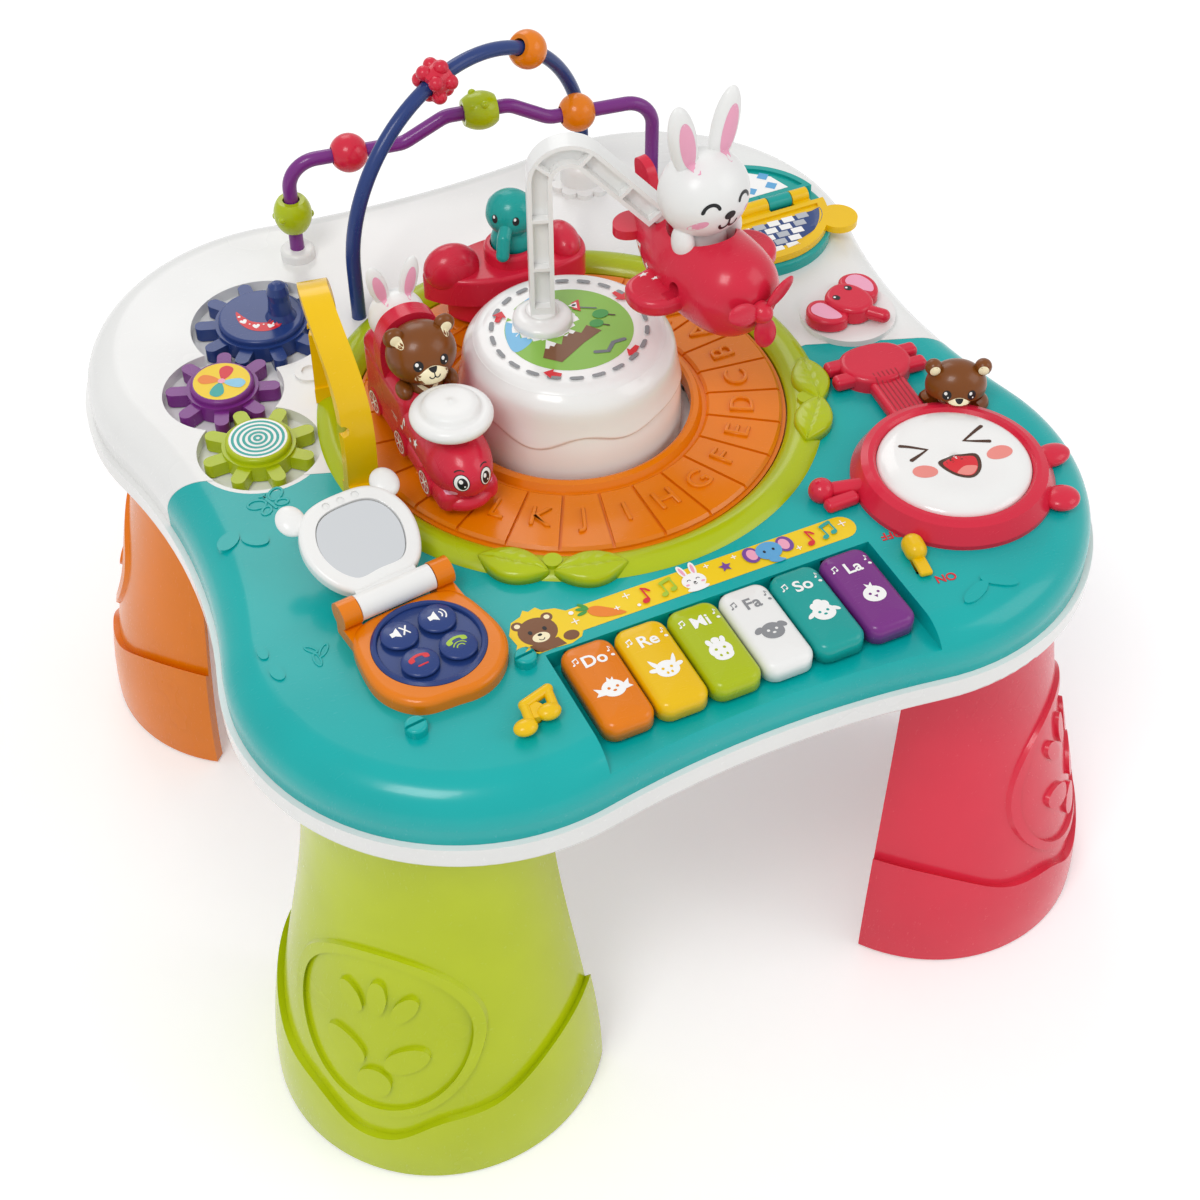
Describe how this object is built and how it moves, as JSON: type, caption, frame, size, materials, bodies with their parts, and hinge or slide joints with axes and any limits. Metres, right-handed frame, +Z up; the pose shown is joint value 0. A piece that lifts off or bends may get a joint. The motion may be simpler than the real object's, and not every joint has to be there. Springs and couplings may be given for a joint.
{
  "type": "musical activity table",
  "caption": "Toy activity table on curved legs with a turning carousel of vehicles, letter track, bead arches, gears, flip phone, drum, piano keys and a flip book.",
  "frame": {"origin": "floor level under the carousel axis, at the centre of the footprint", "axes": "+Z up, +X along the piano keys to the child's right, the piano edge faces -Y"},
  "size_m": [0.4748, 0.4748, 0.4478],
  "materials": {
    "white": "satin",
    "teal": "satin",
    "lime": "satin",
    "orange": "satin",
    "red": "gloss",
    "yellow": "gloss",
    "navy": "gloss",
    "purple": "gloss",
    "brown": "gloss",
    "blue": "satin",
    "steel": "brushed",
    "board": "satin",
    "black": "satin",
    "mirror": "mirror"
  },
  "bodies": {
    "table": {"base_tray": "white", "front_panel": "teal", "back_panel": "white", "leg_front_left": "lime", "leg_front_right": "red", "leg_back_right": "blue", "leg_back_left": "orange", "case_screws": "steel", "vine_ring": "lime", "letter_track": "orange", "drive_motor": "steel", "sound_module": "board", "track_gate": "yellow", "purple_rail": "purple", "navy_rail": "navy", "phone_base": "orange", "phone_keypad": "navy", "drum_body": "red", "bear_lamp": "brown", "book_base": "teal"},
    "carousel": {"hub_cover": "white", "drive_wheel": "black", "plane_arm": "white", "plane_body": "red", "plane_rabbit": "white", "train_body": "red", "train_bear": "brown", "train_rabbit": "white", "boat_body": "red", "boat_elephant": "teal"},
    "propeller": {"propeller": "red"},
    "funnel": {"train_funnel": "white"},
    "motor_pinion": {"motor_pinion": "black"},
    "phone_lid": {"phone_lid": "white", "phone_mirror": "mirror"},
    "note_button": {"note_button": "yellow"},
    "power_switch": {"power_switch": "yellow"},
    "drum_skin": {"drum_skin": "white"},
    "elephant_spinner": {"elephant_spinner": "red"},
    "book_page": {"book_page": "yellow"},
    "battery_door": {"battery_door": "white"},
    "small_gear": {"small_gear": "lime"},
    "middle_gear": {"middle_gear": "purple"},
    "crank_gear": {"crank_gear": "navy"},
    "bead_foot": {"bead_foot": "lime"},
    "bead_red": {"bead_red": "red"},
    "bead_lime": {"bead_lime": "lime"},
    "bead_orange": {"bead_orange": "orange"},
    "bead_flower": {"bead_flower": "red"},
    "bead_top": {"bead_top": "orange"},
    "key_do": {"key_do": "orange"},
    "key_re": {"key_re": "yellow"},
    "key_mi": {"key_mi": "lime"},
    "key_fa": {"key_fa": "white"},
    "key_so": {"key_so": "teal"},
    "key_la": {"key_la": "purple"},
    "button_mute": {"button_mute": "navy"},
    "button_sound": {"button_sound": "navy"},
    "button_call": {"button_call": "navy"},
    "button_end": {"button_end": "navy"}
  },
  "joints": [
    {"name": "carousel_spin", "type": "hinge", "parent": "table", "child": "carousel", "pos_m": [0, 0, 0.269], "axis": [0, 0, 1], "continuous": true},
    {"name": "propeller_spin", "type": "hinge", "parent": "carousel", "child": "propeller", "pos_m": [0.06416, -0.07229, 0.357], "axis": [0.1736, -0.9848, 0], "continuous": true},
    {"name": "funnel_press", "type": "slide", "parent": "carousel", "child": "funnel", "axis": [0, 0, -1], "range_m": [0, 0.004], "stiffness_N_per_m": 300, "springref_m": -0.002},
    {"name": "pinion_spin", "type": "hinge", "parent": "table", "child": "motor_pinion", "pos_m": [0.04125, 0.07145, 0.255], "axis": [0, 0, 1], "continuous": true},
    {"name": "bead_foot_slide", "type": "slide", "parent": "table", "child": "bead_foot", "axis": [0, 0, 1], "range_m": [0, 0.007]},
    {"name": "bead_red_slide", "type": "slide", "parent": "table", "child": "bead_red", "axis": [0.9903, -0.1392, 0], "range_m": [-0.006, 0.016]},
    {"name": "bead_lime_slide", "type": "slide", "parent": "table", "child": "bead_lime", "axis": [0.9903, -0.1392, 0], "range_m": [-0.005, 0.0035]},
    {"name": "bead_orange_slide", "type": "slide", "parent": "table", "child": "bead_orange", "axis": [0.9903, -0.1392, 0], "range_m": [-0.002, 0.016]},
    {"name": "bead_flower_slide", "type": "hinge", "parent": "table", "child": "bead_flower", "pos_m": [0.00825, 0.14325, 0.3], "axis": [0.3527, -0.9357, 0], "range_deg": [-14, 60]},
    {"name": "bead_top_slide", "type": "hinge", "parent": "table", "child": "bead_top", "pos_m": [0.00825, 0.14325, 0.3], "axis": [0.3527, -0.9357, 0], "range_deg": [-20, 16]},
    {"name": "crank_spin", "type": "hinge", "parent": "table", "child": "crank_gear", "pos_m": [-0.121, 0.12906, 0.269], "axis": [0, 0, 1], "continuous": true},
    {"name": "middle_gear_spin", "type": "hinge", "parent": "table", "child": "middle_gear", "pos_m": [-0.157, 0.08584, 0.269], "axis": [0, 0, 1], "continuous": true},
    {"name": "small_gear_spin", "type": "hinge", "parent": "table", "child": "small_gear", "pos_m": [-0.1546, 0.0359, 0.269], "axis": [0, 0, 1], "continuous": true},
    {"name": "phone_lid_hinge", "type": "hinge", "parent": "table", "child": "phone_lid", "pos_m": [-0.1349, -0.09924, 0.2816], "axis": [0.9925, 0.1219, 0], "range_deg": [-12, 156]},
    {"name": "button_mute_press", "type": "slide", "parent": "table", "child": "button_mute", "axis": [0, 0, -1], "range_m": [0, 0.0015], "stiffness_N_per_m": 300, "springref_m": -0.001},
    {"name": "button_sound_press", "type": "slide", "parent": "table", "child": "button_sound", "axis": [0, 0, -1], "range_m": [0, 0.0015], "stiffness_N_per_m": 300, "springref_m": -0.001},
    {"name": "button_call_press", "type": "slide", "parent": "table", "child": "button_call", "axis": [0, 0, -1], "range_m": [0, 0.0015], "stiffness_N_per_m": 300, "springref_m": -0.001},
    {"name": "button_end_press", "type": "slide", "parent": "table", "child": "button_end", "axis": [0, 0, -1], "range_m": [0, 0.0015], "stiffness_N_per_m": 300, "springref_m": -0.001},
    {"name": "key_do_press", "type": "hinge", "parent": "table", "child": "key_do", "pos_m": [-0.067, -0.1525, 0.2638], "axis": [1, 0, 0], "range_deg": [0, 2.4], "stiffness_Nm_per_rad": 0.5, "springref_deg": -1.72},
    {"name": "key_re_press", "type": "hinge", "parent": "table", "child": "key_re", "pos_m": [-0.0402, -0.1525, 0.2638], "axis": [1, 0, 0], "range_deg": [0, 2.4], "stiffness_Nm_per_rad": 0.5, "springref_deg": -1.72},
    {"name": "key_mi_press", "type": "hinge", "parent": "table", "child": "key_mi", "pos_m": [-0.0134, -0.1525, 0.2638], "axis": [1, 0, 0], "range_deg": [0, 2.4], "stiffness_Nm_per_rad": 0.5, "springref_deg": -1.72},
    {"name": "key_fa_press", "type": "hinge", "parent": "table", "child": "key_fa", "pos_m": [0.0134, -0.1525, 0.2638], "axis": [1, 0, 0], "range_deg": [0, 2.4], "stiffness_Nm_per_rad": 0.5, "springref_deg": -1.72},
    {"name": "key_so_press", "type": "hinge", "parent": "table", "child": "key_so", "pos_m": [0.0402, -0.1525, 0.2638], "axis": [1, 0, 0], "range_deg": [0, 2.4], "stiffness_Nm_per_rad": 0.5, "springref_deg": -1.72},
    {"name": "key_la_press", "type": "hinge", "parent": "table", "child": "key_la", "pos_m": [0.067, -0.1525, 0.2638], "axis": [1, 0, 0], "range_deg": [0, 2.4], "stiffness_Nm_per_rad": 0.5, "springref_deg": -1.72},
    {"name": "drum_press", "type": "slide", "parent": "table", "child": "drum_skin", "axis": [0, 0, -1], "range_m": [0, 0.0015], "stiffness_N_per_m": 1500, "springref_m": -0.001},
    {"name": "note_press", "type": "slide", "parent": "table", "child": "note_button", "axis": [0, 0, -1], "range_m": [0, 0.0016], "stiffness_N_per_m": 300, "springref_m": -0.001},
    {"name": "switch_slide", "type": "slide", "parent": "table", "child": "power_switch", "axis": [-0.1736, -0.9848, 0], "range_m": [0, 0.008]},
    {"name": "elephant_spin", "type": "hinge", "parent": "table", "child": "elephant_spinner", "pos_m": [0.163, -0.001, 0.269], "axis": [0, 0, 1], "continuous": true},
    {"name": "page_turn", "type": "hinge", "parent": "table", "child": "book_page", "pos_m": [0.152, 0.093, 0.2806], "axis": [-1, 0, 0], "range_deg": [0, 170]},
    {"name": "battery_door_lift", "type": "slide", "parent": "table", "child": "battery_door", "axis": [0, 0, -1], "range_m": [0, 0.03]}
  ],
  "couplings": [
    {"joint": "pinion_spin", "follows": "carousel_spin", "ratio": -4},
    {"joint": "middle_gear_spin", "follows": "crank_spin", "ratio": -1.25},
    {"joint": "small_gear_spin", "follows": "crank_spin", "ratio": 1.25}
  ]
}
